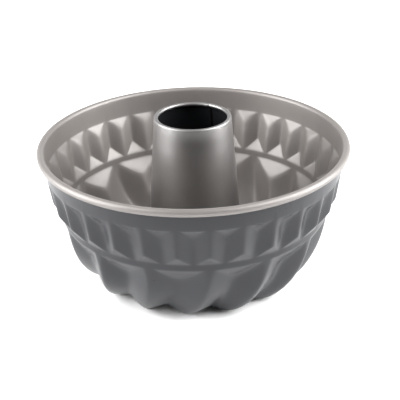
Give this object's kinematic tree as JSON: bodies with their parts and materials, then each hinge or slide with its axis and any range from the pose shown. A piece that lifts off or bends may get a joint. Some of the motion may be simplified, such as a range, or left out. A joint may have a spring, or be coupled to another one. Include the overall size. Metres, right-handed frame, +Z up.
{
  "type": "fluted ring cake tin",
  "caption": "Round fluted cake tin with twisted flutes, a rolled rim and a tapered centre tube that shapes a ring cake.",
  "frame": {"origin": "centre of the tin on the surface that it stands on, under the tube's axis", "axes": "+Z up along the tube's axis, -Y towards the front of the pictured view, +X to the right"},
  "size_m": [0.22, 0.22, 0.1183],
  "materials": {
    "outer_coat": "satin graphite non-stick coat on sheet steel",
    "inner_coat": "satin pale bronze non-stick coat on sheet steel",
    "wire": "drawn steel wire"
  },
  "bodies": {
    "root": {"fluted_bowl": "outer_coat", "centre_tube": "inner_coat", "rim_wire": "wire"}
  },
  "joints": []
}
